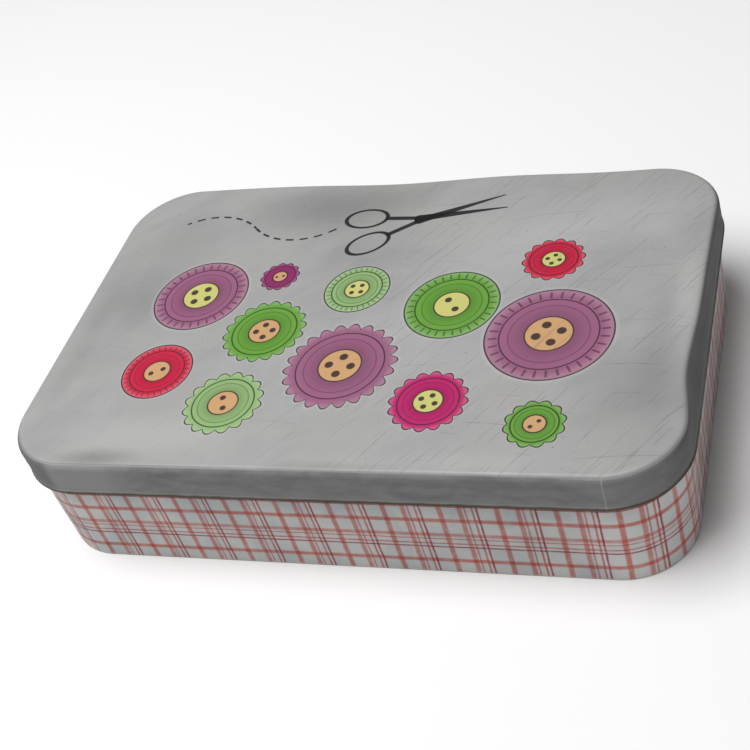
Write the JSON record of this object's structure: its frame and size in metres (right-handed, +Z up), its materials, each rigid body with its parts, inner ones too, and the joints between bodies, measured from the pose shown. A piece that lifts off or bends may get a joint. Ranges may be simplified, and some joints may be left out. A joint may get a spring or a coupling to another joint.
{
  "type": "sewing tin",
  "caption": "Flat oblong tin with rounded corners: a band of printed tinplate with a folded-in base panel, closed by a pressed slip lid with a rolled hem.",
  "frame": {"origin": "middle of the underside, on the surface that the tin stands on", "axes": "+X along the length, +Y to the back wall with the lock seam, +Z up out of the lid"},
  "size_m": [0.2, 0.13, 0.0425],
  "materials": {
    "lid_print": "worn satin varnish over tinplate, silver-grey and cloudy, with printed sewing buttons",
    "wall_print": "satin varnish over a bluish-white ground printed with a red plaid",
    "base_tinplate": "bare rolled tinplate, dull silver"
  },
  "bodies": {
    "tin": {"body_wall": "wall_print", "base_panel": "base_tinplate"},
    "lid": {"lid": "lid_print"}
  },
  "joints": [
    {"name": "lid_lift", "type": "slide", "parent": "tin", "child": "lid", "axis": [0, 0, 1], "range_m": [0, 0.08]}
  ]
}
